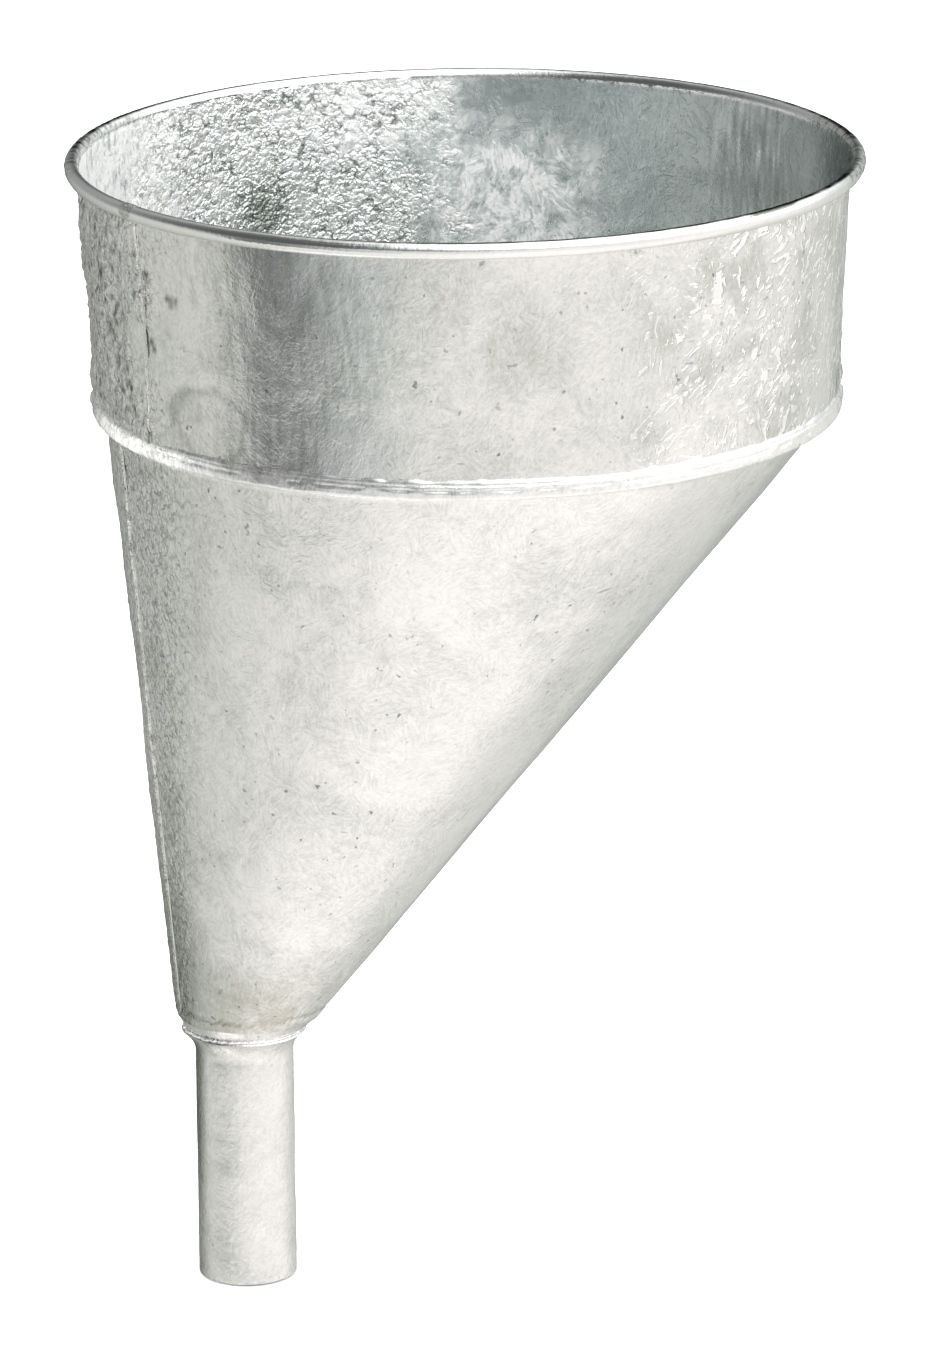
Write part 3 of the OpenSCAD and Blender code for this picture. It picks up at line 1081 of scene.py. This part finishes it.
def reflector(name, points, light, faces):
    """A glowing surface that only reflections see."""
    mesh = bpy.data.meshes.new(name)
    mesh.from_pydata(points.reshape(-1, 3), [], faces)
    glow = mesh.attributes.new("glow", "FLOAT_COLOR", "POINT")
    opaque = np.concatenate([light, np.ones_like(light[..., :1])], -1)
    glow.data.foreach_set("color", opaque.astype(np.float32).ravel())
    material = bpy.data.materials.new(name)
    material.use_nodes = True
    tree = material.node_tree
    tree.nodes.clear()
    painted = add(tree, "Attribute", attribute_name="glow").outputs["Color"]
    emission = add(tree, "Emission", {"Color": painted})
    output = tree.nodes.new("ShaderNodeOutputMaterial")
    tree.links.new(emission.outputs[0], output.inputs["Surface"])
    mesh.materials.append(material)
    made = bpy.data.objects.new(name, mesh)
    bpy.context.scene.collection.objects.link(made)
    made.visible_camera = False
    made.visible_diffuse = False
    made.visible_shadow = False
    made.visible_transmission = False


# A soft light dome that only reflections see. Each row is how bright the metal finds a
# height above the horizon, in directions counted from the camera's own, to its right.
DOME_R = 3.0
DOME_TO_RIGHT = [
    -180, -160, -135, -110, -88, -80, -70, -58, -47, -30,
    -10, 20, 60, 90, 105, 125, 155, 170, 180,
]
DOME_ROWS = {
    -90: [1.14] * len(DOME_TO_RIGHT),
    -74: [1.90, 1.90, 1.90, 1.80, 1.50, 1.30, 1.20] + [1.16] * 12,
    -55: [
        0.40, 0.42, 0.54, 0.66, 0.80, 0.84, 0.88, 0.93, 0.98, 1.08,
        1.20, 1.26, 1.25, 1.22, 1.00, 0.86, 0.78, 0.65, 0.52,
    ],
    -35: [
        0.36, 0.40, 0.56, 0.68, 0.80, 0.84, 0.88, 0.94, 0.98, 1.04,
        1.14, 1.24, 1.26, 1.18, 1.02, 0.88, 0.76, 0.55, 0.40,
    ],
    -20: [
        0.18, 0.34, 0.58, 0.70, 0.80, 0.80, 0.80, 0.80, 0.82, 0.86,
        0.96, 1.08, 1.12, 1.20, 1.12, 0.90, 0.70, 0.40, 0.20,
    ],
    -3: [
        0.12, 0.30, 0.56, 0.70, 0.70, 0.60, 0.40, 0.26, 0.30, 0.50,
        0.85, 1.05, 1.10, 1.20, 1.10, 0.85, 0.66, 0.38, 0.14,
    ],
    8: [
        0.12, 0.34, 0.44, 0.44, 0.40, 0.30, 0.18, 0.14, 0.14, 0.16,
        0.24, 0.60, 1.30, 1.60, 1.50, 0.95, 0.70, 0.34, 0.12,
    ],
    20: [
        0.12, 0.34, 0.38, 0.28, 0.16, 0.14, 0.12, 0.12, 0.12, 0.14,
        0.60, 2.00, 2.40, 2.40, 2.00, 1.10, 0.75, 0.30, 0.12,
    ],
    40: [
        0.30, 0.44, 0.40, 0.22, 0.14, 0.12, 0.12, 0.12, 0.14, 0.18,
        1.50, 2.80, 2.80, 2.80, 2.60, 2.20, 1.20, 0.40, 0.30,
    ],
    65: [
        1.60, 0.90, 0.35, 0.20, 0.18, 0.18, 0.18, 0.20, 0.35, 1.20,
        2.20, 2.80, 2.80, 2.80, 2.80, 2.80, 2.60, 2.00, 1.60,
    ],
    80: [
        2.00, 1.80, 1.50, 1.30, 1.20, 1.20, 1.20, 1.20, 1.30, 1.60,
        2.00, 2.40, 2.60, 2.60, 2.60, 2.60, 2.40, 2.20, 2.00,
    ],
    90: [1.9] * len(DOME_TO_RIGHT),
}
WARM = np.array([1.02, 1.0, 0.975])
OLIVE = np.array([0.98, 1.02, 0.965])
COOL = np.array([0.95, 1.01, 1.00])
toward_camera = math.degrees(HEADING) + 180
rows, cols = 90, 180  # cells up and round the dome
heights = np.linspace(-90, 90, rows + 1)
sides = np.arange(cols) * 360 / cols
to_right = off(sides, toward_camera)
profile = np.array([np.interp(to_right, DOME_TO_RIGHT, row) for row in DOME_ROWS.values()])
glow = np.array([np.interp(heights, list(DOME_ROWS), profile[:, j]) for j in range(cols)]).T
# A dark bar up to the right breaks the highlight on the rim
glow = glow * (1 - 0.9 * ridge(off(to_right, 122), 7) * ridge(heights[:, None] - 44, 7))
warmth = ramp(glow, 0.5, 1.2)[..., None]
sky_side = ramp(heights, 0, 12)[:, None, None]
tint = warmth * WARM + (1 - warmth) * OLIVE
tint = glow[..., None] * (sky_side * COOL + (1 - sky_side) * tint)
level = np.radians(heights)[:, None]
side = np.radians(sides)[None, :]
ball = rows_of(np.cos(level) * np.cos(side), np.cos(level) * np.sin(side), np.sin(level))
centre = np.array([mouth_x * MM / 2, 0, 0.15])
reflector("light_dome", centre + DOME_R * ball, tint, closed_quads(rows + 1, cols)[: rows * cols])

# A dark card in front to the left, near enough that only the band finds it. It fades out to
# its right and its foot into the dome's own brightness.
CARD_R = 0.62
CARD_LOW, CARD_HIGH = 0.0, 0.30
CARD_FADE = 0.06
CARD_ROWS, CARD_COLS = 20, 60
CARD_TO_RIGHT = [-67, -65.5, -61.5, -54, -46, -34, -20]
CARD_GLOW = [0.42, 0.30, 0.23, 0.18, 0.33, 0.55, 0.84]
across = np.linspace(CARD_TO_RIGHT[0], CARD_TO_RIGHT[-1], CARD_COLS)
rise = np.linspace(CARD_LOW, CARD_HIGH, CARD_ROWS)
plain = np.interp(across, DOME_TO_RIGHT, DOME_ROWS[-20])
faded = ramp(rise, CARD_LOW, CARD_LOW + CARD_FADE)[:, None]
card_glow = plain * (1 - faded) + np.interp(across, CARD_TO_RIGHT, CARD_GLOW) * faded
side = np.radians(across + toward_camera)
card_points = rows_of(
    mouth_x * MM + CARD_R * np.cos(side), CARD_R * np.sin(side), rise[:, None]
)
grid = closed_quads(CARD_ROWS, CARD_COLS).reshape(CARD_ROWS, CARD_COLS, 4)
strip = grid[:-1, :-1].reshape(-1, 4)
reflector("dark_card", card_points, card_glow[..., None] * COOL, strip)

world = bpy.data.worlds.new("studio")
bpy.context.scene.world = world
world.use_nodes = True
sky = world.node_tree.nodes["Background"]
sky.inputs["Color"].default_value = (0.985, 0.995, 1.0, 1)
sky.inputs["Strength"].default_value = WORLD

bpy.context.scene.view_settings.view_transform = "Standard"

bpy.context.view_layer.update()
